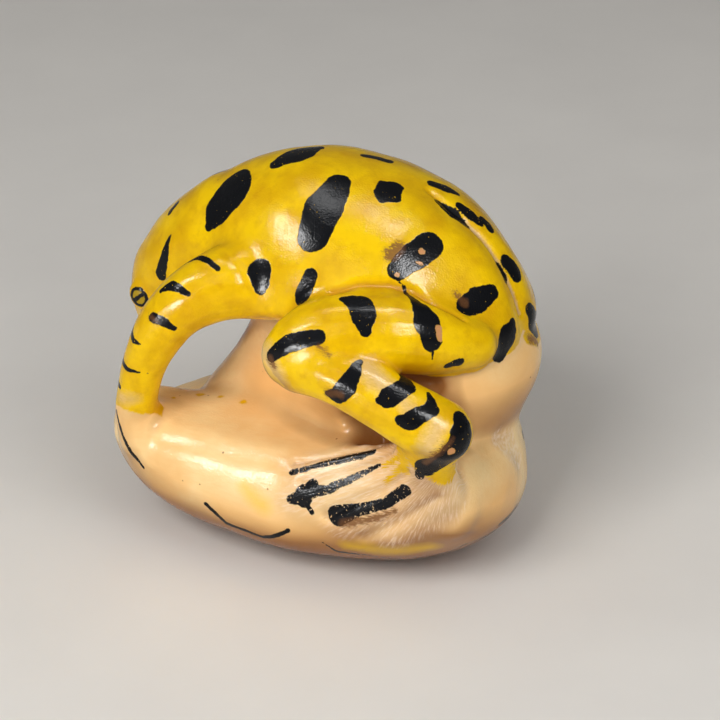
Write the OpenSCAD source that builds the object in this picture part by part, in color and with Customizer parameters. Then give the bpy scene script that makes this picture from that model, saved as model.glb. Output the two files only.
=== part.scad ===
// Frog carved in one palm nut, crouching on the uncarved lower half of the same nut.
// Every sub-part is one region of that single carving, cut so that its neighbours meet it face to face.
// +Z is up, the nose points to -X, the frog's left side is at -Y, and the origin is under the foot.

/* [Nut base] */
// Length of the base, front to back
nut_len = 44; // [42:0.5:47]
// Width of the base, side to side
nut_w = 33; // [32:0.5:36]
// Height of the widest level of the base
nut_mid_h = 7; // [6:0.5:8]
// Height of the shoulder of the base, where the frog's feet stand
nut_top_h = 14.7; // [14.2:0.1:15.2]
// How much lower the right front corner of the base is than the left one
nut_dip = 4.5; // [3:0.5:5]
// Length and width of the ground flat underneath, as a share of the base
foot_share = 0.34; // [0.3:0.02:0.5]

/* [Trunk] */
// Half width of the trunk at the haunches
trunk_half_w = 13.5; // [12:0.5:15]
// How much the trunk narrows towards the back, as a share of its width for each millimetre of height
trunk_taper = 0.018; // [0:0.002:0.02]
// Depth of the groove between the haunches
groove_d = 1.2; // [0:0.1:1.6]
// Half width of that groove
groove_w = 1.3; // [1:0.1:2]

/* [Limbs] */
// Thickness of the limbs, as a share of the carved thickness
limb_share = 1; // [0.9:0.05:1.1]
// How far back the right hind leg reaches, as a share of the left one
right_fold = 0.68; // [0.64:0.02:0.8]
// Height that the painted eyes stand proud of the head
eye_rise = 0.4; // [0.3:0.1:0.9]

/* [Hidden] */

nut_colour = "burlywood";
paint_colour = "gold";
eye_colour = "goldenrod";

// Facets: round the outlines, round a limb, and steps along a limb between two of its stations
outline_steps = 48;
limb_sides = 18;
limb_steps = 3;

// ---- curves -----------------------------------------------------------------------------------

// Catmull-Rom point between b and c, t from 0 to 1
function bend(a, b, c, d, t) =
    0.5 * (2 * b + (c - a) * t + (2 * a - 5 * b + 4 * c - d) * t * t + (3 * b - a - 3 * c + d) * t * t * t);

// A smooth closed curve through guide points, count points long
function closed_curve(guide, count) = [
    for (k = [0 : count - 1])
        let (n = len(guide), u = k * n / count, i = floor(u))
        bend(guide[(i + n - 1) % n], guide[i], guide[(i + 1) % n], guide[(i + 2) % n], u - i)
];

// A smooth open curve through stations, with steps points to each span
function open_curve(guide, steps) = [
    for (i = [0 : len(guide) - 2], k = [0 : steps - 1])
        let (last = len(guide) - 1)
        bend(guide[max(i - 1, 0)], guide[i], guide[i + 1], guide[min(i + 2, last)], k / steps),
    guide[len(guide) - 1]
];

// Height of a smooth bump of the given half width, 1 in its middle
function bump(distance, half_width) = exp(-pow(distance / half_width, 2));

// Degrees between two plan angles, the short way round
function turn(a, b) = abs((a - b + 540) % 360 - 180);

// A smooth step from 0 to 1 around a place, over about four times the given run
function step_up(value, place, run) = 1 / (1 + exp((place - value) / run));

// Sum of a list of numbers
function total(list) = list * [for (item = list) 1];

// Faces of a closed skin made of equal rings, with a point at each end
function skin_faces(rings, sides) = concat(
    [for (s = [0 : sides - 1]) [0, 1 + s, 1 + (s + 1) % sides]],
    [for (r = [0 : rings - 2], s = [0 : sides - 1])
        let (a = 1 + r * sides, b = a + sides, n = (s + 1) % sides)
        each [[a + s, b + s, b + n], [a + s, b + n, a + n]]],
    [let (e = 1 + (rings - 1) * sides) for (s = [0 : sides - 1]) [e + sides, e + (s + 1) % sides, e + s]]
);

// ---- nut base ---------------------------------------------------------------------------------

// Bulges of the outline: [plan angle, extra share of the reach, half width in degrees].
// The left side is drawn out further than the right one, under the front foot and under the hind foot.
nut_bulges = [[-146, 0.18, 24], [146, 0.05, 24], [-34, 0.23, 25], [50, 0.05, 20]];
// Swells of the top: [height, middle x, half length, middle y, half width]
nut_swells = [[-0.8, -22, 6, 0, 5], [2.2, 13, 8, -12, 5], [2.2, 13, 8, 12, 5]];
// Ridge of the top that climbs to the web: [height, half width, x where it starts, run]
nut_ridge = [2.4, 7, -8, 2];
// Edges of the low corner at the right front: [rear x, run, inner y, run]
dip_edge = [-7, 2, -2, 1.2];
// Where the nut is fullest higher up, at its front and under the hind feet:
// [plan angle, extra height, half width in degrees]
nut_lifts = [[-155, 4, 35], [155, 0.5, 35], [-36, 4.5, 28], [50, 2.5, 24]];

// Reach of the base at a plan angle, 0 to the rear, 180 to the front and -90 to the left
function nut_reach(a) =
    let (l = nut_len / 2, w = nut_w / 2)
    l * w / sqrt(pow(w * cos(a), 2) + pow(l * sin(a), 2))
    * (1 + total([for (b = nut_bulges) b[1] * bump(turn(a, b[0]), b[2])]));

// Height of the top of the base: it climbs to the web in the middle and to the hind feet at the sides
function nut_top(x, y) =
    nut_top_h
    + total([for (s = nut_swells) s[0] * bump(x - s[1], s[2]) * bump(y - s[3], s[4])])
    + nut_ridge[0] * bump(y, nut_ridge[1]) * step_up(x, nut_ridge[2], nut_ridge[3])
    - nut_dip * (1 - step_up(x, dip_edge[0], dip_edge[1])) * step_up(y, dip_edge[2], dip_edge[3]);

// Height of the widest level at a plan angle
function nut_mid(a) = nut_mid_h + total([for (l = nut_lifts) l[1] * bump(turn(a, l[0]), l[2])]);

// The flank is round below its widest level, and rolls in above it to a brow a little below the top
flank_steps = 8;
flank_power = 1.25;
brow_steps = 4;
brow_in = 0.11;
brow_up = 0.95;
brow_drop = 0.6;
// Levels of the flank from the ground flat up: [share of the reach, lower sweep, upper sweep]
flank = concat(
    [for (k = [0 : flank_steps])
        let (t = 90 * k / flank_steps)
        [foot_share + (1 - foot_share) * pow(sin(t), flank_power), 1 - cos(t), 0]],
    [for (k = [1 : brow_steps])
        let (t = 90 * k / (brow_steps + 1))
        [1 - brow_in * (1 - cos(t)), 1, brow_up * sin(t)]]
);
// Shares of the reach at the rings of the top, from the shoulder inwards
crown = [0.84, 0.74, 0.62, 0.5, 0.36, 0.24, 0.12];

module nut_shape() {
    sides = outline_steps;
    angles = [for (s = [0 : sides - 1]) 360 * s / sides - 180];
    rings = concat(
        [for (level = flank) [for (a = angles)
            let (
                r = nut_reach(a) * level[0],
                m = nut_mid(a),
                brow = nut_top(r * cos(a), r * sin(a)) - brow_drop
            )
            [r * cos(a), r * sin(a), m * level[1] + (brow - m) * level[2]]]],
        [for (share = crown) [for (a = angles)
            let (r = nut_reach(a) * share)
            [r * cos(a), r * sin(a), nut_top(r * cos(a), r * sin(a))]]]
    );
    points = concat([[0, 0, 0]], [for (ring = rings) each ring], [[0, 0, nut_top(0, 0)]]);
    polyhedron(points, skin_faces(len(rings), sides));
}

// ---- trunk ------------------------------------------------------------------------------------

// Outline of the trunk seen from the side, [x, z], from the chest over the back to the belly
trunk_outline = [
    [-15.5, 24.7], [-17.8, 28.2], [-16.8, 33.2], [-13, 38.2], [-7, 41.8], [1, 43.1], [9, 41.7],
    [15, 39.1], [19.6, 35.4], [22.4, 29.8], [22.2, 25.7], [14, 24.2], [4, 25.5], [-5, 26.5], [-11, 25.5]
];
trunk_middle = [5, 32];
// Width of the neck as a share of the haunches, and where it has widened: [x, run]
neck_share = 0.66;
neck_end = [-9, 4];
// Share of the width lost above the haunches towards the tail, from where back and up: [x, run, z, run]
tail_pinch = 0.45;
tail_from = [17, 2.5, 30.5, 2];
// Where the groove between the haunches starts: [x, run]
groove_from = [12, 1.5];
// Slices of the trunk from side to side, and how full they keep their spacing and their size
trunk_rows = 22;
lean_power = 0.95;
size_power = 0.9;

// Half width of the trunk, as a share: it narrows to the neck, and above the haunches to the tail
function trunk_share(x, z) =
    (neck_share + (1 - neck_share) * step_up(x, neck_end[0], neck_end[1]))
    * (1 - tail_pinch * step_up(x, tail_from[0], tail_from[1]) * step_up(z, tail_from[2], tail_from[3]))
    * (1 - trunk_taper * (z - trunk_middle[1]));

// The point at the middle of one side of the trunk, way -1 for the left and 1 for the right
function trunk_pole(way) =
    let (m = trunk_middle)
    [m[0], way * trunk_half_w * trunk_share(m[0], m[1]), m[1]];

module torso_shape() {
    m = trunk_middle;
    outline = closed_curve(trunk_outline, outline_steps);
    rings = [for (k = [1 : trunk_rows - 1])
        let (
            t = 180 * k / trunk_rows,
            c = -cos(t),
            lean = sign(c) * pow(abs(c), lean_power),
            size = pow(sin(t), size_power)
        )
        [for (p = outline)
            let (
                flat = m + (p - m) * size,
                y = trunk_half_w * lean * trunk_share(flat[0], flat[1]),
                rear = step_up(flat[0], groove_from[0], groove_from[1]),
                sunk = m + (flat - m) * (1 - groove_d * bump(y, groove_w) * rear / norm(p - m))
            )
            [sunk[0], y, sunk[1]]]
    ];
    points = concat([trunk_pole(-1)], [for (ring = rings) each ring], [trunk_pole(1)]);
    polyhedron(points, skin_faces(len(rings), outline_steps));
}

// ---- limbs ------------------------------------------------------------------------------------

// A round limb through stations [x, y, z, radius]
module limb(stations, steps = limb_steps) {
    line = open_curve(stations, steps);
    for (k = [0 : len(line) - 2])
        hull() {
            bead(line[k]);
            bead(line[k + 1]);
        }
}

module bead(station) {
    translate([station[0], station[1], station[2]])
        sphere(r = station[3] * limb_share, $fn = limb_sides);
}

// Draws its children as they are for the left side, or mirrored for the right side
module side_of(right) {
    if (right) mirror([0, 1, 0]) children();
    else children();
}

// Stations of the left limbs, [x, y, z, radius]. The right limbs are mirrored after a change of their own.
head_line = [
    [-10.3, 0, 31.3, 7.7], [-13, 0, 29.7, 7.1], [-15.8, 0, 27.4, 6.5], [-18, 0, 25, 5.5],
    [-19.6, 0, 22.4, 4.1], [-20.3, 0, 20.4, 2.8]
];
front_leg_line = [
    [-3, -7.8, 31.4, 4.4], [-7.3, -10.6, 31.2, 3.9], [-11.3, -12.8, 28.6, 3.2], [-14.2, -13.8, 24, 2.6],
    [-16, -13.5, 19.2, 2.3], [-16.8, -13, 15.2, 2.4], [-16.2, -12.2, 11.7, 3]
];
thigh_line = [
    [19.5, -7.2, 28.2, 2.6], [16.5, -9.8, 29.3, 3.6], [12.5, -12.2, 30.3, 4.2], [8.5, -13.8, 30.1, 4.4],
    [5.3, -15, 28.8, 4.2], [3.4, -15.7, 27.3, 3.5]
];
shank_line = [
    [4.2, -16, 26.9, 3.3], [8.3, -17, 27.1, 3.1], [12.5, -17.4, 26.1, 3.1], [16.5, -17.2, 24.4, 3.2],
    [20, -16.2, 22.5, 3.4]
];
ankle = [18.8, -15.7, 19.4, 2.8];
wrist = [-16.8, -12.5, 14.7, 2.3];
// Each toe runs from its root to its tip
hind_toes = [
    [[13.5, -14, 17.4, 1.5], [3, -14.9, 13.4, 1.2]], [[15.5, -14.8, 16.5, 1.7], [2.6, -15.7, 10.2, 1.3]],
    [[17.8, -15.2, 15.2, 1.8], [8.6, -15.9, 8.8, 1.4]], [[19.5, -14.2, 14.1, 1.8], [14, -15, 8, 1.4]]
];
front_toes = [
    [[-17.2, -9.8, 13.2, 1.7], [-20.5, -6.7, 9.7, 1]], [[-17.3, -11, 12.9, 1.7], [-19.7, -10.5, 8, 1]],
    [[-16.8, -12.2, 12.9, 1.7], [-17.2, -13.1, 7.6, 1]], [[-15.5, -12.7, 13, 1.7], [-13, -14.7, 8.8, 1]]
];

// The right hind leg is folded shorter, lies closer in, and is a little thinner
right_inset = 0.93;
right_thin = 0.95;
function hind_station(p, right) =
    right ? [p[0] * right_fold, p[1] * right_inset, p[2], p[3] * right_thin] : p;

// The right front leg leans back and reaches lower, fully so at leg_drop below the shoulder
shoulder_z = 31;
leg_drop = 14;
right_shift = [4.6, 0.6, -0.9 * nut_dip, 0];
function front_station(p, right) =
    right ? p + right_shift * min(1, max(0, (shoulder_z - p[2]) / leg_drop)) : p;

// The right front toes stand with that leg
right_toe_shift = [5.2, 1.9, -0.7 * nut_dip, 0];
function front_toe_station(p, right) = right ? p + right_toe_shift : p;

// Middle of the left eye, its radius, and how deep its rim is sunk in the head
eye_spot = [-20, -4.6, 24.6];
eye_r = 1.9;
eye_sink = 0.6;

module head_shape() {
    limb(head_line);
}

module front_leg_shape(right) {
    side_of(right) limb([for (p = front_leg_line) front_station(p, right)]);
}

module thigh_shape(right) {
    side_of(right) limb([for (p = thigh_line) hind_station(p, right)]);
}

module shank_shape(right) {
    side_of(right) limb([for (p = shank_line) hind_station(p, right)]);
}

// Toes that lie on the nut as low ridges, each joined to the ankle by a flat of the foot
module toes(root, lines) {
    for (line = lines)
        limb([root, line[0], (line[0] + line[1]) / 2, line[1]]);
    for (k = [0 : len(lines) - 2])
        hull() {
            bead(root);
            bead(lines[k][0]);
            bead(lines[k + 1][0]);
        }
}

module front_foot_shape(right) {
    lines = [for (line = front_toes) [for (p = line) front_toe_station(p, right)]];
    side_of(right) toes(front_station(wrist, right), lines);
}

module hind_foot_shape(right) {
    lines = [for (line = hind_toes) [for (p = line) hind_station(p, right)]];
    side_of(right) toes(hind_station(ankle, right), lines);
}

// ---- web of nut between base and belly --------------------------------------------------------

// Levels of the web from the base up:
// [front x, rear x, half width in front, half width at the rear, height]
web_levels = [
    [-16, 19.8, 5, 10.5, 8.2], [-15.3, 20.6, 4.5, 10.5, 12.2], [-13.6, 21.2, 4.2, 10.6, 15.2],
    [-11.4, 22.4, 4.2, 11.2, 18.2], [-9.7, 23.4, 4.6, 12, 21.2], [-8.4, 23.4, 5.5, 12.2, 24.2],
    [-7.6, 21.5, 7, 11, 27.2]
];
web_plate_t = 0.2;
web_front_sides = 24;
web_rear_sides = 32;

module web_shape() {
    levels = open_curve(web_levels, 2);
    for (k = [0 : len(levels) - 2])
        hull() {
            web_level(levels[k]);
            web_level(levels[k + 1]);
        }
}

module web_level(level) {
    translate([level[0] + level[2], 0, level[4]])
        cylinder(r = level[2], h = web_plate_t, $fn = web_front_sides);
    translate([level[1] - level[3], 0, level[4]])
        cylinder(r = level[3], h = web_plate_t, $fn = web_rear_sides);
}

// ---- sub-parts --------------------------------------------------------------------------------

module nut_base() {
    color(nut_colour) nut_shape();
}

module belly_web() {
    color(nut_colour)
        difference() {
            web_shape();
            nut_shape();
            torso_shape();
            head_shape();
        }
}

module torso() {
    color(paint_colour) torso_shape();
}

module head() {
    color(paint_colour)
        difference() {
            head_shape();
            torso_shape();
        }
}

module eye(right) {
    color(eye_colour)
        difference() {
            side_of(right)
                translate(eye_spot)
                    scale([1, (eye_rise + eye_sink) / eye_r, 1])
                        sphere(r = eye_r, $fn = limb_sides);
            head_shape();
            torso_shape();
        }
}

module front_leg(right) {
    color(paint_colour)
        difference() {
            front_leg_shape(right);
            torso_shape();
            head_shape();
            nut_shape();
            front_foot_shape(right);
        }
}

module front_foot(right) {
    color(nut_colour)
        difference() {
            front_foot_shape(right);
            nut_shape();
        }
}

module thigh(right) {
    color(paint_colour)
        difference() {
            thigh_shape(right);
            torso_shape();
            web_shape();
        }
}

module shank(right) {
    color(paint_colour)
        difference() {
            shank_shape(right);
            thigh_shape(right);
            torso_shape();
            web_shape();
        }
}

module hind_foot(right) {
    color(nut_colour)
        difference() {
            hind_foot_shape(right);
            shank_shape(right);
            nut_shape();
            web_shape();
        }
}

nut_base();
belly_web();
torso();
head();
eye(false);  // left_eye
eye(true);  // right_eye
front_leg(false);  // left_front_leg
front_leg(true);  // right_front_leg
front_foot(false);  // left_front_foot
front_foot(true);  // right_front_foot
thigh(false);  // left_thigh
thigh(true);  // right_thigh
shank(false);  // left_shank
shank(true);  // right_shank
hind_foot(false);  // left_hind_foot
hind_foot(true);  // right_hind_foot
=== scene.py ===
import math

import bmesh
import bpy
import numpy as np
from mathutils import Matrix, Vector, noise
from mathutils.bvhtree import BVHTree


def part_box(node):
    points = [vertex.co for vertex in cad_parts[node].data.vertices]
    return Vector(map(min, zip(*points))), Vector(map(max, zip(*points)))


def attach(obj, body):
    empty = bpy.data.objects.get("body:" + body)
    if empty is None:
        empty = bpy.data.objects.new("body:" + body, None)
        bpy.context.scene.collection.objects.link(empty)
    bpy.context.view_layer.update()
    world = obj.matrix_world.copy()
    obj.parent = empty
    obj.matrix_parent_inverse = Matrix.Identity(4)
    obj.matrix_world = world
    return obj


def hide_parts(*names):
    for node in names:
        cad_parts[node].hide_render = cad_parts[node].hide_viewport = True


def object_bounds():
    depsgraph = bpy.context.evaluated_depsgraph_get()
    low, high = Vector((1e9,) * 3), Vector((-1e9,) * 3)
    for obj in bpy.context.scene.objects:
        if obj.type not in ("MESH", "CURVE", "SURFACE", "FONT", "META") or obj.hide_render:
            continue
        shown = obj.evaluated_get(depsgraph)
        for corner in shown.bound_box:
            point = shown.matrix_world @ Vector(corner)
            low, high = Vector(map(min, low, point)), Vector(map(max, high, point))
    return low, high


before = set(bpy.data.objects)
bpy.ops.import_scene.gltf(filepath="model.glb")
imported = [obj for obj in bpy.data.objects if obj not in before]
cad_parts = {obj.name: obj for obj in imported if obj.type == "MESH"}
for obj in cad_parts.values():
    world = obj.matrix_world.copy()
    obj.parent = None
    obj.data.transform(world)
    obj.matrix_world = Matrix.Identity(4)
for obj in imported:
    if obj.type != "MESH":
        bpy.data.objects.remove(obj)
LOW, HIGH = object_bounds()
SPAN = HIGH - LOW
MM = 0.001

# ---- driving values -----------------------------------------------------------------------------

VOXEL = 0.25 * MM          # size of the skin's cells
FILLET_ROUNDS = 26         # how far the hollow joins between regions are rounded out
HOLLOW_PULL = 0.9          # share of the way to its neighbours that a hollow vertex moves in each round
BROAD_MELT_ROUNDS = 40     # sanding of the broad surfaces
MELT_PULL = 0.5            # share of the way to its neighbours that a melted vertex moves in each round
POLISH_ROUNDS = 5          # smoothing of the whole skin
POLISH_IN, POLISH_OUT = 0.5, 0.52      # how far each of its rounds moves a vertex in, then out again
FOOT_MELT_ROUNDS = 200     # how far the toes are melted into one carved foot before their grooves are cut
SHELTER_RAYS, SHELTER_STEP = 40, 6     # directions, and every how many vertices, for the shade in gaps
SHELTER_REACH = 7 * MM     # how far away a surface still shelters
SHELTER_LIFT = 0.1 * MM    # rays start this far off the surface
SHELTER_LEAST = 0.2        # least cosine between the surface's normal and a ray

# Rounds of blurring: of each region's share, of the paint's edge, and of what the paint reads
SHARE_BLUR, EDGE_BLUR = 4, 4
UNDER_BLUR, SHELTER_BLUR, HOLLOW_BLUR, FOOT_BLUR = 10, 25, 60, 80
# Melting: rounds of blurring, and then the least weight, or what the weight is multiplied by
BROAD_BLUR, BROAD_LEAST = 6, 0.1
FOOT_SPREAD, FOOT_GAIN = 60, 4
PAINT_SLOPE = 1.1          # millimetres to the paint's edge for a whole step of its blurred share

VIEW_AZIMUTH, VIEW_ELEVATION = 25, 27
VIEW_DISTANCE = 350 * MM
VIEW_LENS, VIEW_SENSOR = 162.75, 36
VIEW_TARGET = (57.6, 51.7, 45.5)       # in percent of the carving's box
VIEW_CLIP = (0.01, 10)
LIGHT_DISTANCE = 500 * MM
WORLD_COLOUR, WORLD_STRENGTH = (1, 0.98, 0.95, 1), 0.13
FLOOR_REACH = 2.0          # from the middle of the floor to its edges

# Swells that a hand-cut and sanded surface keeps: size and height
SWELLS = ((5.0 * MM, 0.16 * MM), (1.8 * MM, 0.02 * MM))

BARE_NODES = ("nut_base", "belly_web", "left_front_foot", "right_front_foot",
              "left_hind_foot", "right_hind_foot")
BROAD_NODES = ("nut_base", "belly_web", "torso", "head")
EYE_NODES = ("left_eye", "right_eye")
HIND_FEET = ("left_hind_foot", "right_hind_foot")
EYE_RING_R, EYE_RING_W = 1.0, 0.2      # the painted ring round each eye, in millimetres
PUPIL_HALF_W = 0.22                    # the slanted bar across it
TOE_TURN = 12              # millimetres across the toes for each radian round their root
FAR_AWAY, FAR_EDGE = 99.0, 9.0         # gaps in millimetres for a vertex that no line reaches

# ---- brushwork and carving lines -----------------------------------------------------------------
# Every line has stations of (length, width, height, half width): the first three in percent of the
# carving's box, from nose to rump, left to right and foot to back; the last in millimetres.
# Where these numbers come from: most stations of the left side, the top and the rear were traced from
# the photo by another program, through a fitted camera onto the CAD, and then rounded and moved a
# little, and so were many half widths of the black marks. They aren't chosen by hand. The stations
# named right_, of the side that isn't seen, are given one by one.

MARKS = {
    # back, from the neck to the rump
    "shoulder_drop": [(31, 44, 93, 1.1), (31, 40, 90, 2.7), (29, 38, 87, 2.3), (27, 36, 82, 0.7)],
    "crest_drop": [(40, 46, 98, 1.0), (43, 50, 99, 2.0), (46, 55, 99, 0.8)],
    "long_bean": [(57, 40, 98, 1.4), (56, 33, 94, 2.2), (56, 27, 89, 1.8)],
    "square_spot": [(67, 43, 96, 1.0), (68, 46, 97, 1.0)],
    "square_rim": [(65, 42, 96, 0.3), (65, 46, 97, 0.3), (69, 48, 96, 0.3), (70, 43, 95, 0.3),
                   (67, 40, 95, 0.3), (65, 42, 96, 0.3)],
    "brushed_spot": [(76, 28, 84, 1.1), (78, 32, 86, 1.5), (80, 37, 88, 1.5)],
    "haunch_spot": [(89, 35, 74, 1.1), (91, 38, 75, 1.4), (93, 42, 76, 0.9)],
    "rump_drop": [(98, 45, 68, 0.6), (97, 42, 65, 1.4), (96, 39, 62, 1.2)],
    "groove_upper": [(76, 52, 92, 0.5), (80, 52, 90, 0.9), (83, 52, 87, 0.4)],
    "groove_lower": [(91, 51, 79, 0.5), (93, 51, 76, 0.6)],
    "crest_far": [(57, 57, 99, 0.6), (62, 58, 98, 0.6)],
    "neck_far": [(21, 54, 88, 0.8), (24, 56, 90, 0.8)],
    "neck_side": [(13, 45, 79, 0.5), (14, 46, 81, 0.5)],
    "neck_line": [(16, 38, 76, 0.2), (15, 37, 71, 0.6), (14, 36, 66, 0.8)],
    "flank_egg": [(45, 22, 79, 1.4), (46, 20, 75, 0.7)],
    "flank_bean": [(58, 21, 81, 0.8), (57, 19, 76, 1.0)],
    # far haunch, beyond the groove
    "far_haunch_1": [(73, 57, 95, 0.6), (76, 59, 94, 0.8), (78, 60, 92, 0.4)],
    "far_haunch_2": [(80, 56, 91, 0.5), (83, 56, 89, 0.7), (85, 56, 87, 0.4)],
    "far_haunch_3": [(85, 58, 87, 0.6), (87, 58, 86, 0.6)],
    "far_haunch_4": [(92, 55, 79, 0.8), (94, 56, 76, 1.0)],
    "far_haunch_5": [(97, 56, 67, 0.7), (98, 58, 63, 1.2), (98, 61, 60, 1.2)],
    # left front leg
    "arm_band_1": [(27, 22, 77, 0.2), (30, 22, 80, 0.4), (36, 19, 79, 0.3)],
    "arm_band_2": [(23, 15, 72, 0.3), (26, 15, 74, 0.6), (31, 14, 73, 0.3)],
    "arm_band_3": [(23, 11, 66, 0.6), (26, 11, 65, 0.5), (28, 12, 64, 0.3)],
    "arm_band_4": [(15, 16, 61, 0.6), (18, 12, 58, 0.3), (20, 10, 58, 0.1)],
    "arm_band_5": [(12, 17, 52, 0.5), (16, 12, 50, 0.3), (19, 11, 50, 0.1)],
    "arm_band_6": [(11, 17, 45, 0.5), (13, 13, 44, 0.3)],
    "finger_line": [(11, 14, 36, 0.2), (13, 14, 30, 0.2), (15, 14, 26, 0.3), (18, 14, 22, 0.2)],
    # left hind leg
    "knee_mark": [(55, 5, 66, 0.7), (59, 5, 70, 1.0), (66, 6, 73, 0.8)],
    "thigh_mark_1": [(68, 15, 80, 0.4), (72, 14, 80, 1.3), (74, 12, 78, 1.3), (75, 10, 75, 0.6)],
    "thigh_curl": [(76, 27, 82, 0.15), (77, 27, 81, 0.1), (79, 26, 80, 0.3)],
    "thigh_mark_2": [(79, 26, 80, 0.2), (82, 23, 79, 0.6), (86, 20, 76, 1.5), (88, 18, 72, 1.1)],
    "thigh_tail": [(88, 18, 71, 0.2), (88, 18, 67, 0.1)],
    "thigh_mark_3": [(90, 22, 64, 0.4), (92, 24, 65, 0.6)],
    "shank_mark_1": [(75, 7, 68, 0.3), (75, 3, 67, 0.8), (74, 1, 64, 1.1), (72, 0, 61, 0.9),
                     (70, 1, 61, 0.4)],
    "shank_mark_2": [(83, 12, 65, 0.3), (86, 7, 64, 1.0), (84, 2, 63, 1.1), (82, 1, 62, 0.5)],
    "shank_mark_3": [(90, 10, 62, 0.2), (92, 6, 60, 0.8), (89, 2, 58, 1.0), (87, 1, 58, 0.6)],
    "heel_top": [(98, 10, 57, 1.1), (99, 8, 54, 1.6), (98, 6, 50, 1.6), (95, 5, 47, 1.3), (91, 5, 44, 1.2)],
    "heel_end": [(90, 5, 44, 0.8), (89, 6, 41, 0.5)],
    "toe_stripe_1": [(56, 11, 32, 0.35), (61, 12, 34, 0.25), (67, 13, 38, 0.5), (72, 14, 41, 0.6),
                     (75, 14, 42, 0.3)],
    "toe_stripe_2": [(60, 9, 28, 0.9), (66, 9, 30, 0.5), (71, 10, 34, 0.4), (78, 12, 39, 0.2)],
    "toe_blot_2": [(57, 9, 25, 0.5), (60, 9, 26, 0.9), (62, 10, 30, 0.8)],
    "toe_fork_2": [(60, 9, 26, 0.3), (62, 11, 23, 0.3)],
    "toe_stripe_3": [(68, 9, 24, 1.2), (74, 9, 27, 0.7), (80, 9, 30, 0.6), (85, 10, 35, 0.7)],
    # nut
    "rim_line": [(35, 11, 17, 0.3), (40, 12, 13, 0.3), (49, 12, 11, 0.25)],
    "rim_branch": [(49, 12, 11, 0.3), (56, 11, 16, 0.25)],
    "foot_line": [(64, 12, 14, 0.1), (66, 14, 11, 0.2), (71, 17, 11, 0.2)],
    "foot_edge": [(72, 17, 11, 0.1), (84, 24, 9, 0.1), (93, 27, 14, 0.12), (97, 36, 14, 0.2)],
    "foot_edge_end": [(98, 37, 16, 0.3), (98, 42, 16, 0.5), (98, 47, 17, 0.3)],
    "waist_spot": [(95, 64, 29, 0.4), (95, 62, 29, 0.5)],
    # right side
    "right_shoulder": [(34, 70, 92, 1.2), (37, 76, 87, 1.7)],
    "right_bean": [(52, 72, 95, 1.5), (54, 80, 89, 1.9)],
    "right_spot": [(68, 70, 93, 1.2), (70, 75, 90, 1.2)],
    "right_brushed": [(79, 76, 82, 1.3), (84, 72, 79, 1.4)],
    "right_rump": [(94, 68, 66, 1.0), (96, 62, 62, 1.1)],
    "right_flank": [(44, 82, 78, 1.3), (43, 82, 72, 0.8)],
    "right_belly": [(62, 84, 80, 0.9), (64, 84, 74, 1.0)],
    "right_cheek": [(16, 60, 74, 0.5), (14, 61, 67, 0.7)],
    "right_thigh_1": [(58, 88, 80, 0.9), (60, 93, 76, 0.9)],
    "right_thigh_2": [(71, 84, 79, 0.9), (74, 90, 74, 0.8)],
    "right_knee": [(50, 95, 67, 0.9), (53, 96, 72, 0.7)],
    "right_shank_1": [(62, 98, 68, 0.6), (60, 99, 61, 0.7)],
    "right_shank_2": [(72, 98, 63, 0.6), (70, 98, 56, 0.7)],
    "right_heel": [(84, 92, 57, 0.7), (85, 90, 50, 0.8), (80, 94, 44, 0.6)],
    "right_arm_1": [(32, 80, 78, 0.5), (36, 84, 76, 0.4)],
    "right_arm_2": [(26, 84, 70, 0.5), (30, 88, 69, 0.4)],
    "right_arm_3": [(23, 86, 60, 0.5), (27, 88, 59, 0.3)],
    "right_arm_4": [(22, 86, 50, 0.5), (26, 87, 49, 0.3)],
    "right_toe_1": [(52, 91, 32, 0.3), (66, 90, 41, 0.3)],
    "right_toe_2": [(55, 93, 25, 0.5), (70, 92, 36, 0.4)],
    "right_toe_3": [(64, 92, 24, 0.6), (76, 91, 33, 0.4)],
    "right_rim": [(35, 88, 17, 0.2), (50, 90, 12, 0.3), (62, 88, 11, 0.2)],
}

# Brown paint, brushed thin, that shows at the edge of a black mark or through it
SMEARS = {
    "feather": [(74, 29, 87, 0.8), (75, 31, 88, 0.8)],
    "haunch": [(87, 35, 77, 0.3), (89, 35, 75, 0.6)],
    "arm": [(22, 11, 66, 0.4), (24, 11, 65, 0.3)],
    "shank": [(70, 1, 61, 0.5), (73, 0, 62, 0.5)],
    "knee": [(55, 5, 65, 0.5), (56, 5, 64, 0.4)],
    "knee_hairs": [(66, 5, 71, 0.3), (69, 5, 69, 0.2)],
    "rump": [(98, 54, 60, 0.5), (99, 58, 58, 0.5)],
    "heel": [(97, 6, 54, 0.3), (94, 4, 50, 0.5), (91, 5, 46, 0.4)],
    "toe": [(70, 8, 22, 0.6), (77, 9, 25, 0.5), (82, 9, 28, 0.3)],
}

# Chips where a black mark has come away down to the nut
CHIPS = {
    "brushed_upper": [(79, 34, 87, 0.35)],
    "brushed_lower": [(79, 32, 85, 0.15), (80, 32, 85, 0.2)],
    "brushed_left": [(76, 27, 83, 0.25)],
    "thigh": [(88, 21, 74, 0.4), (89, 20, 72, 0.35)],
    "heel": [(97, 5, 51, 0.4)],
}

# Yellow paint beyond the painted regions
SPILLS = {
    "ankle": [(87, 4, 48, 1.6), (92, 5, 45, 1.7), (95, 10, 41, 1.4)],
    "joint": [(82, 11, 46, 0.5), (85, 8, 45, 1.0), (85, 8, 41, 0.7)],
    "streak_upper": [(84, 7, 45, 0.6), (79, 12, 39, 0.2)],
    "streak_lower": [(84, 8, 42, 0.4), (80, 10, 35, 0.2)],
    "drop_1": [(23, 37, 34, 0.5)],
    "drop_2": [(28, 37, 34, 0.35)],
    "drop_3": [(35, 35, 35, 0.4)],
    "drop_4": [(18, 32, 34, 0.3)],
    "far_haunch": [(98, 53, 61, 0.8), (98, 58, 59, 1.2), (97, 66, 59, 1.6)],
}

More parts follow.
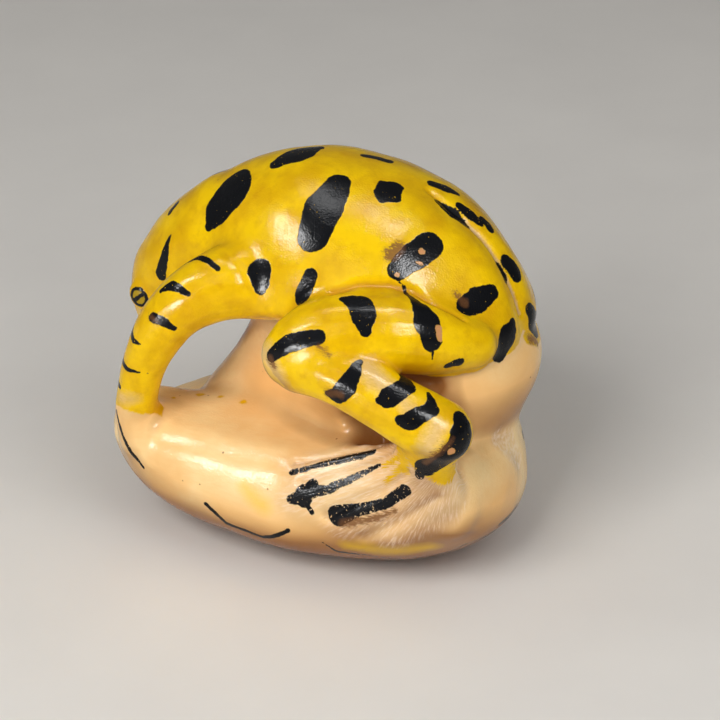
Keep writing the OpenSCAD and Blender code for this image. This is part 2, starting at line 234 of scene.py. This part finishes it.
# Places inside the painted regions where the nut was left bare
GAPS = {
    "left_wrist": [(13, 14, 30, 3.6), (20, 17, 27, 3.8)],
    "knee": [(53, 5, 63, 0.4), (55, 4, 60, 0.5), (57, 4, 58, 0.3)],
    "right_wrist": [(24, 84, 24, 3.6), (22, 84, 18, 3.4)],
    "groove": [(82, 53, 89, 0.1), (86, 53, 85, 0.2), (91, 52, 79, 0.2), (96, 52, 67, 0.2)],
}

# Places where the yellow is so thin that the nut shows through. At the knee and the top of the shank these
# pale places are also painted highlight.
WASHES_AND_SHEEN = {
    "knee": [(53, 5, 64, 1.9), (55, 4, 61, 1.7), (58, 4, 57, 1.0)],
    "shank_upper": [(77, 6, 67, 1.2), (82, 4, 65, 1.0)],
    "shank_middle": [(86, 4, 62, 0.6), (88, 3, 60, 0.6)],
    "shank_lower": [(94, 5, 56, 0.9), (92, 4, 51, 1.1)],
    "nut_smear": [(45, 11, 25, 0.5), (50, 10, 21, 0.7)],
    "arm": [(17, 13, 42, 0.6), (14, 14, 41, 0.6)],
    "foot_edge": [(70, 12, 14, 0.6), (76, 13, 13, 1.0), (83, 15, 13, 1.0), (88, 18, 15, 0.7)],
}

# Places where the bare nut is a deeper tan
TANS = {
    "neck": [(80, 28, 50, 2.5), (90, 33, 50, 3.0), (97, 50, 47, 2.5)],
    "rear_side": [(94, 24, 22, 2.0), (97, 38, 22, 2.5)],
    "lower_edge": [(40, 10, 16, 1.0), (60, 11, 14, 1.5), (80, 16, 13, 1.5)],
    "under_belly": [(38, 32, 42, 1.5), (55, 30, 44, 2.0), (68, 26, 42, 2.0)],
}

# Scraped places where the nut is pale and fibrous, besides the feet
SCRAPES = {
    "rear": [(94, 43, 36, 1.1), (95, 47, 32, 1.8), (96, 50, 27, 1.2)],
    "right_rear": [(80, 86, 28, 0.8), (86, 82, 24, 1.2)],
}

# Lines cut or raised by the knife. A depth in millimetres, below 0 for a ridge, then the stations.
CUTS = {
    "rump_groove": (0.3, [(74, 53, 95, 0.4), (83, 53, 88, 0.4), (91, 52, 79, 0.4), (96, 52, 67, 0.4)]),
    "thigh_step": (0.35, [(64, 19, 78, 0.5), (69, 22, 81, 0.5), (75, 25, 81, 0.5), (80, 27, 79, 0.5),
                          (86, 28, 76, 0.4), (91, 30, 73, 0.3)]),
    "shoulder_step": (0.25, [(35, 24, 82, 0.5), (41, 20, 79, 0.6), (43, 19, 75, 0.6)]),
    "toe_cut_1": (0.3, [(60, 12, 30, 0.7), (69, 12, 36, 0.6), (80, 12, 44, 0.4)]),
    "toe_cut_2": (0.3, [(66, 12, 23, 0.7), (77, 10, 32, 0.6), (86, 8, 41, 0.4)]),
    "toe_cut_3": (0.25, [(74, 13, 19, 0.8), (83, 10, 25, 0.8), (92, 11, 34, 0.6)]),
    "foot_top": (0.35, [(56, 13, 34, 0.4), (67, 15, 40, 0.5), (75, 17, 44, 0.5)]),
    "heel_fill": (-1.2, [(91, 27, 35, 2.8), (94, 21, 30, 2.8), (93, 19, 24, 2.4)]),
    "rear_facet": (0.25, [(94, 43, 36, 1.2), (95, 47, 32, 1.8), (96, 50, 27, 1.2)]),
    "shank_gap": (1.6, [(66, 26, 42, 0.9), (70, 24, 41, 1.2), (74, 22, 41, 0.9)]),
    "thigh_gap": (0.8, [(79, 22, 58, 0.6), (82, 23, 58, 0.7), (86, 25, 57, 0.6)]),
    "right_toe_cut_1": (0.35, [(53, 91, 28, 0.5), (68, 90, 38, 0.5)]),
    "right_toe_cut_2": (0.35, [(60, 92, 24, 0.5), (73, 91, 34, 0.5)]),
}


def at(x, y, z):
    """The point at these percentages of the carving's length, width and height."""
    return np.array(LOW) + np.array((x, y, z)) / 100 * np.array(SPAN)


# ---- skin: the carving as one smooth surface -------------------------------------------------------

class Skin:
    """Vertices, quads and edges of the carving, with the measures that sculpting and paint need."""

    def __init__(self, mesh):
        self.co = np.zeros(len(mesh.vertices) * 3)
        mesh.vertices.foreach_get("co", self.co)
        self.co = self.co.reshape(-1, 3)
        edges = np.zeros(len(mesh.edges) * 2, int)
        mesh.edges.foreach_get("vertices", edges)
        self.edges = edges.reshape(-1, 2)
        loops = np.zeros(len(mesh.loops), int)
        mesh.loops.foreach_get("vertex_index", loops)
        self.quads = loops.reshape(-1, 4)
        self.links = np.bincount(self.edges.ravel(), minlength=len(self.co))

    def spread(self, values):
        """The mean of each vertex's neighbours."""
        a, b = self.edges.T
        columns = values.reshape(len(values), -1)
        out = np.empty_like(columns)
        for k in range(columns.shape[1]):
            out[:, k] = (np.bincount(a, columns[b, k], len(values))
                         + np.bincount(b, columns[a, k], len(values))) / self.links
        return out.reshape(values.shape)

    def blurred(self, values, rounds):
        for _ in range(rounds):
            values = 0.5 * values + 0.5 * self.spread(values)
        return values

    def normals(self):
        p = self.co[self.quads]
        face = np.cross(p[:, 2] - p[:, 0], p[:, 3] - p[:, 1])
        out = np.zeros_like(self.co)
        for corner in range(4):
            for k in range(3):
                out[:, k] += np.bincount(self.quads[:, corner], face[:, k], len(self.co))
        return out / np.maximum(np.linalg.norm(out, axis=1), 1e-15)[:, None]

    def nearest(self, point):
        return self.co[np.argmin(((self.co - point) ** 2).sum(axis=1))]


def fused_skin():
    """One closed skin round all the CAD nodes."""
    gathered = bmesh.new()
    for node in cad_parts.values():
        gathered.from_mesh(node.data)
    mesh = bpy.data.meshes.new("gathered")
    gathered.to_mesh(mesh)
    gathered.free()
    holder = bpy.data.objects.new("gathered", mesh)
    bpy.context.collection.objects.link(holder)
    remesh = holder.modifiers.new("remesh", "REMESH")
    remesh.mode = "VOXEL"
    remesh.voxel_size = VOXEL
    seen = holder.evaluated_get(bpy.context.evaluated_depsgraph_get())
    skin = Skin(bpy.data.meshes.new_from_object(seen))
    bpy.data.objects.remove(holder)
    return skin


def node_shares(skin, names):
    """How much each vertex belongs to each CAD node, from 0 to 1, one column for each node."""
    points, triangles, owner = [], [], []
    for index, name in enumerate(names):
        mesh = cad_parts[name].data
        mesh.calc_loop_triangles()
        start = len(points)
        points += [v.co.copy() for v in mesh.vertices]
        triangles += [[start + i for i in t.vertices] for t in mesh.loop_triangles]
        owner += [index] * len(mesh.loop_triangles)
    tree = BVHTree.FromPolygons(points, triangles)
    nearest = np.array([owner[tree.find_nearest(Vector(c))[2]] for c in skin.co])
    return skin.blurred((nearest[:, None] == np.arange(len(names))).astype(float), SHARE_BLUR)


def round_hollows(skin, rounds):
    """Fills the sharp hollow joins between regions, as a knife and sandpaper leave them."""
    for _ in range(rounds):
        pull = skin.spread(skin.co) - skin.co
        hollow = np.einsum("ij,ij->i", pull, skin.normals()) > 0
        skin.co += HOLLOW_PULL * pull * hollow[:, None]


def polish(skin, rounds):
    """Smooths the skin without shrinking it."""
    for _ in range(rounds):
        skin.co += POLISH_IN * (skin.spread(skin.co) - skin.co)
        skin.co -= POLISH_OUT * (skin.spread(skin.co) - skin.co)


def melt(skin, weight, rounds):
    """Smooths only where weight is above 0, up to 1."""
    for _ in range(rounds):
        skin.co += MELT_PULL * weight[:, None] * (skin.spread(skin.co) - skin.co)


def line_gap(skin, stations):
    """Distance in millimetres from each vertex to the middle of a line, and the line's half width there."""
    points, halves = [], []
    for start, end in zip(stations, stations[1:] + stations[-1:]):
        points += [skin.nearest(at(*start[:3])), skin.nearest((at(*start[:3]) + at(*end[:3])) / 2)]
        halves += [start[3], (start[3] + end[3]) / 2]
    middle = np.mean(points, axis=0)
    reach = max(np.linalg.norm(p - middle) for p in points) + (2 + 2.5 * max(halves)) * MM
    near = np.flatnonzero(((skin.co - middle) ** 2).sum(axis=1) < reach ** 2)
    co, gap, half = skin.co[near], np.full(len(near), FAR_AWAY), np.ones(len(near))
    for a, b, half_a, half_b in zip(points, points[1:], halves, halves[1:]):
        along = b - a
        share = np.clip((co - a) @ along / max(along @ along, 1e-12), 0, 1)
        away = np.linalg.norm(co - a - share[:, None] * along, axis=1) / MM
        width = half_a + (half_b - half_a) * share
        closer = away - width < gap - half
        gap[closer], half[closer] = away[closer], width[closer]
    all_gap, all_half = np.full(len(skin.co), FAR_AWAY), np.ones(len(skin.co))
    all_gap[near], all_half[near] = gap, half
    return all_gap, all_half


def cut_lines(skin):
    """Sinks the knife's lines into the skin, and raises its ridges."""
    for depth, stations in CUTS.values():
        gap, half = line_gap(skin, stations)
        skin.co -= skin.normals() * (depth * MM * np.exp(-(gap / half) ** 2))[:, None]


def knife_unevenness(skin):
    """Lifts and sinks the skin by shallow swells."""
    lift = np.zeros(len(skin.co))
    for size, height in SWELLS:
        lift += [height * noise.noise(Vector(c) / size) for c in skin.co]
    skin.co += skin.normals() * lift[:, None]


# ---- paint measures ----------------------------------------------------------------------------------

def edge_gap(skin, lines):
    """Distance in millimetres to the edge of the nearest of these lines, below 0 inside it."""
    best = np.full(len(skin.co), FAR_EDGE)
    for stations in lines.values():
        gap, half = line_gap(skin, stations)
        best = np.minimum(best, gap - half)
    return best


def eye_rings(skin):
    """Distance to the edge of the black ring and pupil of each eye, and of the iris, below 0 inside."""
    black, iris = np.full(len(skin.co), FAR_EDGE), np.full(len(skin.co), FAR_EDGE)
    for name in EYE_NODES:
        low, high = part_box(name)
        middle = skin.nearest(np.array((low + high) / 2))
        away = (skin.co - middle) / MM
        r = np.linalg.norm(away, axis=1)
        black = np.minimum(black, np.abs(r - EYE_RING_R) - EYE_RING_W)
        bar = np.abs(0.7 * away[:, 0] - 0.7 * away[:, 2]) - PUPIL_HALF_W
        black = np.minimum(black, np.maximum(bar, r - EYE_RING_R))
        iris = np.minimum(iris, r - EYE_RING_R)
    return black, iris


def depth_in_hollow(skin, rounds):
    """How far each vertex lies below the blurred surface, in millimetres."""
    return np.einsum("ij,ij->i", skin.blurred(skin.co, rounds) - skin.co, skin.normals()) / MM


def shelter(skin):
    """How closed in each vertex is, from 0 in the open to 1 deep in a gap, by rays from some vertices."""
    tree = BVHTree.FromPolygons(skin.co.tolist(), skin.quads.tolist())
    k = np.arange(SHELTER_RAYS) + 0.5
    z, turn = 1 - 2 * k / SHELTER_RAYS, k * math.pi * (3 - math.sqrt(5))
    rays = np.stack((np.cos(turn) * np.sqrt(1 - z * z), np.sin(turn) * np.sqrt(1 - z * z), z), axis=1)
    normals = skin.normals()
    facing = normals @ rays.T
    value, asked = np.zeros(len(skin.co)), np.zeros(len(skin.co))
    for i in range(0, len(skin.co), SHELTER_STEP):
        start = Vector(skin.co[i] + normals[i] * SHELTER_LIFT)
        hit = sent = 0.0
        for j in np.flatnonzero(facing[i] > SHELTER_LEAST):
            floor_gap = start.z / max(-rays[j][2], 1e-6)
            blocked = floor_gap < SHELTER_REACH or tree.ray_cast(start, Vector(rays[j]), SHELTER_REACH)[0]
            hit += facing[i][j] if blocked else 0
            sent += facing[i][j]
        value[i], asked[i] = hit / max(sent, 1e-6), 1
    return skin.blurred(value, SHELTER_BLUR) / skin.blurred(asked, SHELTER_BLUR)


def toe_fan(skin):
    """Millimetres along and across the toes of each hind foot, for marks that follow the toes."""
    out = np.zeros((len(skin.co), 3))
    for name, side in zip(HIND_FEET, (-1, 1)):
        low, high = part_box(name)
        root = np.array((high.x, 0, high.z - 0.1 * (high.z - low.z)))
        away = (skin.co - root) / MM
        angle = np.arctan2(-away[:, 2], -away[:, 0])
        on_side = skin.co[:, 1] * side > 0
        out[on_side, 0] = np.hypot(away[:, 0], away[:, 2])[on_side]
        out[on_side, 1] = TOE_TURN * angle[on_side]
    return out


def share_of(some, names, shares):
    """How much each vertex belongs to any of some nodes."""
    return sum(shares[:, names.index(name)] for name in some)


def paint_measures(skin, names, shares):
    """What the material reads at each vertex: gaps to painted edges in millimetres, hollows and shade."""
    bare = share_of(BARE_NODES, names, shares)
    painted = skin.blurred(1 - bare, EDGE_BLUR)
    yellow = (painted - 0.5) * PAINT_SLOPE
    yellow = np.maximum(yellow, -edge_gap(skin, SPILLS))
    yellow = np.minimum(yellow, edge_gap(skin, GAPS))
    black, iris = eye_rings(skin)
    feet = share_of(HIND_FEET, names, shares)
    return {
        "yellow": yellow,
        "black": np.minimum(edge_gap(skin, MARKS), black),
        "iris": iris,
        "smear": edge_gap(skin, SMEARS),
        "chip": edge_gap(skin, CHIPS),
        "wash_and_sheen": edge_gap(skin, WASHES_AND_SHEEN),
        "tan": edge_gap(skin, TANS),
        "scrape": edge_gap(skin, SCRAPES),
        "under": skin.blurred(-skin.normals()[:, 2], UNDER_BLUR),
        "hollow": depth_in_hollow(skin, HOLLOW_BLUR),
        "foot": skin.blurred(feet, FOOT_BLUR),
        "shelter": shelter(skin),
    }


# ---- pieces --------------------------------------------------------------------------------------

def make_piece(name, skin, faces, normals, measures, fan, material):
    """The part of the skin that stands for one CAD node."""
    used, local = np.unique(skin.quads[faces], return_inverse=True)
    mesh = bpy.data.meshes.new(name)
    mesh.from_pydata(skin.co[used].tolist(), [], local.reshape(-1, 4).tolist())
    mesh.polygons.foreach_set("use_smooth", [True] * len(mesh.polygons))
    for key, values in measures.items():
        mesh.attributes.new(key, "FLOAT", "POINT").data.foreach_set("value", values[used].astype(np.float32))
    mesh.attributes.new("fan", "FLOAT_VECTOR", "POINT").data.foreach_set(
        "vector", fan[used].astype(np.float32).ravel())
    mesh.normals_split_custom_set_from_vertices(normals[used].tolist())
    mesh.materials.append(material)
    piece = bpy.data.objects.new("carved_" + name, mesh)
    bpy.context.collection.objects.link(piece)
    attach(piece, "root")
    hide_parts(name)
    return piece


# ---- materials -------------------------------------------------------------------------------------

# The dark nut colour paints shade in hollows, in gaps and on the underside, and is also the colour of the
# nut's dark specks
PEACH, TAN, NUT_SHADE_AND_SPECKS = (1.0, 0.76, 0.39), (0.88, 0.50, 0.18), (0.24, 0.085, 0.02)
FIBRE_PALE, FIBRE_PINK = (0.92, 0.74, 0.56), (0.60, 0.34, 0.19)
YELLOW, GOLD = (0.88, 0.56, 0.001), (0.72, 0.41, 0.001)
AMBER, OLIVE = (0.56, 0.25, 0.004), (0.30, 0.22, 0.010)
BLACK, BROWN, BARED = (0.004, 0.0045, 0.006), (0.20, 0.08, 0.025), (0.55, 0.26, 0.10)
FLOOR_PALE, FLOOR_DEEP = (0.82, 0.79, 0.74), (0.72, 0.69, 0.65)
BUMP_DEPTH = 0.05 * MM     # of the paint's relief and of the varnish's waves
COAT_ROUGHNESS, COAT_IOR, SPECULAR_LEVEL = 0.16, 1.2, 0.01


class Nodes:
    """Short calls for building one material's shader nodes."""

    def __init__(self, name):
        self.material = bpy.data.materials.new(name)
        self.material.use_nodes = True
        self.tree = self.material.node_tree
        self.shader = self.tree.nodes["Principled BSDF"]
        place = self.tree.nodes.new("ShaderNodeTexCoord").outputs["Object"]
        self.mm = self.stretch(place, (1 / MM,) * 3)

    def put(self, socket, value):
        if isinstance(value, bpy.types.NodeSocket):
            self.tree.links.new(value, socket)
        elif isinstance(value, tuple) and len(value) == 3 and socket.type == "RGBA":
            socket.default_value = (*value, 1)
        else:
            socket.default_value = value

    def stretch(self, vector, factors):
        node = self.tree.nodes.new("ShaderNodeVectorMath")
        node.operation = "MULTIPLY"
        self.put(node.inputs[0], vector)
        self.put(node.inputs[1], factors)
        return node.outputs[0]

    def measure(self, name, output="Fac"):
        node = self.tree.nodes.new("ShaderNodeAttribute")
        node.attribute_name = name
        return node.outputs[output]

    def noise(self, size, detail=3.0, roughness=0.5, place=None):
        """Noise from 0 to 1 with features of this size in millimetres."""
        node = self.tree.nodes.new("ShaderNodeTexNoise")
        self.put(node.inputs["Vector"], place or self.mm)
        node.inputs["Scale"].default_value = 1 / size
        node.inputs["Detail"].default_value = detail
        node.inputs["Roughness"].default_value = roughness
        return node.outputs[0]

    def cells(self, size):
        """Distance from the middles of random cells of this size in millimetres, as a share of the size."""
        node = self.tree.nodes.new("ShaderNodeTexVoronoi")
        self.put(node.inputs["Vector"], self.mm)
        node.inputs["Scale"].default_value = 1 / size
        return node.outputs["Distance"]

    def math(self, operation, a, b=0.0):
        node = self.tree.nodes.new("ShaderNodeMath")
        node.operation = operation
        self.put(node.inputs[0], a)
        self.put(node.inputs[1], b)
        return node.outputs[0]

    def plus(self, a, b):
        return self.math("ADD", a, b)

    def minus(self, a, b):
        return self.math("SUBTRACT", a, b)

    def times(self, a, b):
        return self.math("MULTIPLY", a, b)

    def fade(self, value, start, end, low=0.0, high=1.0):
        """Goes from low to high as value goes from start to end."""
        node = self.tree.nodes.new("ShaderNodeMapRange")
        self.put(node.inputs["Value"], value)
        for key, number in (("From Min", start), ("From Max", end), ("To Min", low), ("To Max", high)):
            node.inputs[key].default_value = number
        return node.outputs[0]

    def mix(self, share, a, b):
        node = self.tree.nodes.new("ShaderNodeMix")
        node.data_type = "RGBA"
        self.put(node.inputs["Factor"], share)
        self.put(node.inputs[6], a)
        self.put(node.inputs[7], b)
        return node.outputs[2]

    def bump(self, height, distance, strength=1.0, under=None):
        node = self.tree.nodes.new("ShaderNodeBump")
        self.put(node.inputs["Height"], height)
        node.inputs["Distance"].default_value = distance
        node.inputs["Strength"].default_value = strength
        if under is not None:
            self.put(node.inputs["Normal"], under)
        return node.outputs[0]


class Brushwork(Nodes):
    """Nodes with the textures that the coats share."""

    def __init__(self, name):
        super().__init__(name)
        along_toes = self.stretch(self.measure("fan", "Vector"), (0.12, 1, 1))
        self.fibres = self.noise(0.22, 3, 0.6, along_toes)
        self.foot = self.fade(self.measure("foot"), 0.1, 0.8)
        self.hairs = self.noise(0.16, 3, 0.6, self.stretch(self.mm, (0.15, 1, 1)))
        self.ragged = self.times(self.minus(self.noise(0.7, 4, 0.65), 0.5), 0.7)


def nut_colour(n):
    """Pale peach to tan nut, with painted shade in hollows, in gaps and where it faces down, with specks,
    and scraped fibres on the feet.
    """
    colour = n.mix(n.fade(n.noise(9, 4), 0.38, 0.72, 0, 0.8), PEACH, TAN)
    colour = n.mix(n.fade(n.plus(n.measure("tan"), n.noise(3, 4)), 0.0, 4.0, 0.85, 0), colour, TAN)
    grain = n.noise(0.5, 4, 0.6, n.stretch(n.mm, (0.25, 1, 1)))
    colour = n.mix(n.fade(grain, 0.45, 0.75, 0, 0.25), colour, TAN)
    # Painted shade: the nut is darkened in hollows, in sheltered gaps and near the floor, and where it faces
    # downwards
    colour = n.mix(n.fade(n.measure("hollow"), 0.02, 0.35, 0, 0.75), colour, NUT_SHADE_AND_SPECKS)
    colour = n.mix(n.fade(n.measure("shelter"), 0.2, 0.56, 0, 0.94), colour, NUT_SHADE_AND_SPECKS)
    colour = n.mix(n.fade(n.measure("under"), 0.0, 0.5, 0, 0.85), colour, NUT_SHADE_AND_SPECKS)
    pink = n.mix(0.45, colour, FIBRE_PINK)
    fibrous = n.mix(n.fade(n.fibres, 0.47, 0.72, 0, 0.8), pink, FIBRE_PALE)
    colour = n.mix(n.times(n.foot, 0.8), colour, fibrous)
    scrape = n.fade(n.plus(n.measure("scrape"), n.noise(1.5, 4)), 1.0, 0.1, 0, 0.6)
    colour = n.mix(scrape, colour, n.mix(n.fade(n.noise(0.5, 4), 0.4, 0.65), pink, FIBRE_PALE))
    specks = n.fade(n.cells(3.0), 0.03, 0.05, 0.7, 0.0)
    return n.mix(specks, colour, NUT_SHADE_AND_SPECKS)


def yellow_colour(n):
    """Yellow paint with golden mottling, and painted shade in amber in the hollows and gaps."""
    colour = n.mix(n.fade(n.noise(4, 4), 0.38, 0.62), YELLOW, GOLD)
    colour = n.mix(n.fade(n.noise(1.6, 4, 0.6), 0.5, 0.75, 0, 0.45), colour, AMBER)
    # Painted shade: the yellow turns amber in hollows and in sheltered gaps
    colour = n.mix(n.fade(n.measure("hollow"), 0.03, 0.25, 0, 0.8), colour, AMBER)
    colour = n.mix(n.fade(n.measure("shelter"), 0.25, 0.8, 0, 0.8), colour, AMBER)
    specks = n.fade(n.cells(4.5), 0.02, 0.035, 0.8, 0.0)
    return n.mix(specks, colour, NUT_SHADE_AND_SPECKS)


def yellow_cover(n):
    """Where yellow paint lies, with a ragged edge that runs out in streaks on the feet."""
    streaks = n.times(n.times(n.minus(n.fibres, 0.5), n.foot), 2.5)
    return n.fade(n.plus(n.plus(n.measure("yellow"), n.ragged), streaks), -0.1, 0.15)


def add_yellow(n, nut):
    """Yellow paint over the nut: thin at the washes, which at the knee and the shank's top are also painted
    highlight, a haze of it beyond its edge, and brown stains.
    """
    cover = yellow_cover(n)
    # Thin paint showing the nut; at the knee and the top of the shank this is also painted highlight
    wash_and_sheen = n.fade(n.plus(n.measure("wash_and_sheen"), n.times(n.ragged, 2.0)), -0.8, 0.6, 0.75, 0.0)
    wash_and_sheen = n.times(wash_and_sheen, n.fade(n.hairs, 0.3, 0.55, 0.7, 1.0))
    colour = n.mix(n.times(cover, n.minus(1.0, wash_and_sheen)), nut, yellow_colour(n))
    haze = n.fade(n.minus(n.measure("wash_and_sheen"), n.ragged), -0.6, 0.9, 0.5, 0.0)
    colour = n.mix(n.times(haze, n.minus(1.0, cover)), colour, YELLOW)
    stain = n.fade(n.plus(n.measure("wash_and_sheen"), n.times(n.hairs, 2.0)), 0.2, 1.6, 0.25, 0.0)
    colour = n.mix(n.times(stain, cover), colour, BROWN)
    return n.mix(n.fade(n.measure("iris"), -0.1, 0.1, 0.8, 0.0), colour, OLIVE)


def add_smears(n, colour):
    """Brown paint brushed thin, broken up by the brush's bristles."""
    smear = n.fade(n.plus(n.measure("smear"), n.times(n.ragged, 2.0)), -0.2, 0.4, 0.9, 0.0)
    bristles = n.minus(n.hairs, n.times(n.measure("smear"), 0.3))
    return n.mix(n.times(smear, n.fade(bristles, 0.40, 0.56, 0.2, 1.0)), colour, BROWN)


def black_cover(n):
    """Where black paint lies: a slightly ragged edge, flecks left open, and dry brushing at the edges."""
    black = n.fade(n.plus(n.measure("black"), n.times(n.ragged, 0.55)), -0.04, 0.04, 1.0, 0.0)
    flecks = n.fade(n.cells(0.7), 0.05, 0.09)
    flecks = n.math("MAXIMUM", flecks, n.fade(n.noise(1.5, 2), 0.53, 0.58, 1, 0))
    edge = n.fade(n.measure("black"), -0.6, -0.1, 0.02, 0.13)
    dry = n.fade(n.minus(n.noise(0.3, 3, 0.6), n.times(edge, n.foot)), 0.25, 0.30)
    return n.times(n.times(black, flecks), dry)


def add_black(n, colour):
    """Black marks with chips down to the nut. Gives the colour, and where black is left."""
    cover = black_cover(n)
    chip = n.fade(n.plus(n.measure("chip"), n.times(n.ragged, 0.8)), -0.04, 0.04)
    colour = n.mix(n.times(cover, n.minus(1.0, chip)), colour, BARED)
    black = n.times(cover, chip)
    brown = n.fade(n.plus(n.measure("smear"), n.ragged), -0.3, 0.1, 0.45, 0.0)
    return n.mix(black, colour, n.mix(brown, BLACK, BROWN)), black


def surface_relief(n, black):
    """Waves, fine grain and the toes' fibres, with the black paint standing a little proud."""
    relief = n.plus(n.times(n.noise(1.1, 3), 0.5), n.times(black, 0.25))
    relief = n.plus(relief, n.times(n.noise(0.2, 2), 0.5))
    relief = n.plus(relief, n.times(n.minus(n.fibres, 0.5), n.foot))
    return n.bump(relief, BUMP_DEPTH)


def finish_material(name):
    """Nut, yellow paint, brown and black brush marks, and varnish over them all."""
    n = Brushwork(name)
    colour, black = add_black(n, add_smears(n, add_yellow(n, nut_colour(n))))
    bump = surface_relief(n, black)
    n.put(n.shader.inputs["Base Color"], colour)
    n.put(n.shader.inputs["Normal"], bump)
    n.put(n.shader.inputs["Roughness"], n.fade(n.noise(2, 3), 0.3, 0.7, 0.38, 0.55))
    n.put(n.shader.inputs["Coat Weight"], 1.0)
    n.put(n.shader.inputs["Coat Roughness"], COAT_ROUGHNESS)
    n.put(n.shader.inputs["Coat IOR"], COAT_IOR)
    n.put(n.shader.inputs["Specular IOR Level"], SPECULAR_LEVEL)
    n.put(n.shader.inputs["Coat Normal"], n.bump(n.noise(1.6, 2), BUMP_DEPTH, 0.7, bump))
    return n.material


def floor_material():
    n = Nodes("pale_floor")
    colour = n.mix(n.noise(25, 4), FLOOR_PALE, FLOOR_DEEP)
    n.put(n.shader.inputs["Base Color"], colour)
    n.put(n.shader.inputs["Roughness"], 0.7)
    return n.material


# ---- stage -----------------------------------------------------------------------------------------

def direction(azimuth, elevation):
    """Unit vector from the carving, azimuth 0 towards -Y and 90 towards +X."""
    a, e = math.radians(azimuth), math.radians(elevation)
    return Vector((math.sin(a) * math.cos(e), -math.cos(a) * math.cos(e), math.sin(e)))


def place_facing(thing, back, distance, target):
    """Puts a thing at this distance in the direction back from its target, looking at it."""
    thing.location = target + back * distance
    thing.rotation_mode = "QUATERNION"
    thing.rotation_quaternion = (-back).to_track_quat("-Z", "Y")
    bpy.context.collection.objects.link(thing)


def add_camera():
    camera = bpy.data.objects.new("camera", bpy.data.cameras.new("camera"))
    target = Vector(at(*VIEW_TARGET))
    place_facing(camera, direction(VIEW_AZIMUTH, VIEW_ELEVATION), VIEW_DISTANCE, target)
    camera.data.lens = VIEW_LENS
    camera.data.sensor_width = VIEW_SENSOR
    camera.data.clip_start, camera.data.clip_end = VIEW_CLIP
    bpy.context.scene.camera = camera


def add_floor():
    reach = FLOOR_REACH
    mesh = bpy.data.meshes.new("floor")
    mesh.from_pydata([(-reach, -reach, 0), (reach, -reach, 0), (reach, reach, 0), (-reach, reach, 0)],
                     [], [(0, 1, 2, 3)])
    mesh.materials.append(floor_material())
    floor = bpy.data.objects.new("floor", mesh)
    bpy.context.collection.objects.link(floor)


def add_light(name, azimuth, elevation, size, power, mirrored):
    """A soft square light aimed at the carving, that either makes highlights or only lights the colour."""
    data = bpy.data.lights.new(name, "AREA")
    data.shape, data.size, data.energy = "SQUARE", size, power
    light = bpy.data.objects.new(name, data)
    light.visible_glossy, light.visible_diffuse = mirrored, not mirrored
    place_facing(light, direction(azimuth, elevation), LIGHT_DISTANCE, (LOW + HIGH) / 2)


def add_lights():
    """The world, two lights for the colour, and five small ones for highlights. Another program worked
    out where most of the highlight lights stand, from the photo's highlights; they were then moved."""
    world = bpy.data.worlds.new("studio")
    world.use_nodes = True
    world.node_tree.nodes["Background"].inputs["Color"].default_value = WORLD_COLOUR
    world.node_tree.nodes["Background"].inputs["Strength"].default_value = WORLD_STRENGTH
    bpy.context.scene.world = world
    add_light("key", -5, 38, 0.25, 1.75, mirrored=False)
    add_light("fill", 65, 40, 0.4, 0.95, mirrored=False)
    add_light("left", -54, 38, 0.11, 2.7, mirrored=True)
    add_light("right", 57, 40, 0.11, 3.2, mirrored=True)
    add_light("top", -85, 72, 0.16, 1.0, mirrored=True)
    add_light("above", 100, 80, 0.15, 2.4, mirrored=True)
    add_light("low", -25, 5, 0.09, 3.2, mirrored=True)


# ---- build -----------------------------------------------------------------------------------------

def build():
    names = sorted(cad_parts)
    skin = fused_skin()
    shares = node_shares(skin, names)
    round_hollows(skin, FILLET_ROUNDS)
    broad = share_of(BROAD_NODES, names, shares)
    melt(skin, np.clip(skin.blurred(broad, BROAD_BLUR), BROAD_LEAST, 1), BROAD_MELT_ROUNDS)
    feet = share_of([name for name in names if name.endswith("_foot")], names, shares)
    melt(skin, np.clip(FOOT_GAIN * skin.blurred(feet, FOOT_SPREAD), 0, 1), FOOT_MELT_ROUNDS)
    knife_unevenness(skin)
    cut_lines(skin)
    polish(skin, POLISH_ROUNDS)
    skin.co[:, 2] = np.maximum(skin.co[:, 2], LOW.z)
    measures = paint_measures(skin, names, shares)
    fan = toe_fan(skin)
    normals = skin.normals()
    region = shares.argmax(axis=1)[skin.quads[:, 0]]
    material = finish_material("painted_nut")
    for index, name in enumerate(names):
        make_piece(name, skin, region == index, normals, measures, fan, material)


bpy.context.scene.view_settings.view_transform = "Standard"
build()
add_camera()
add_floor()
add_lights()
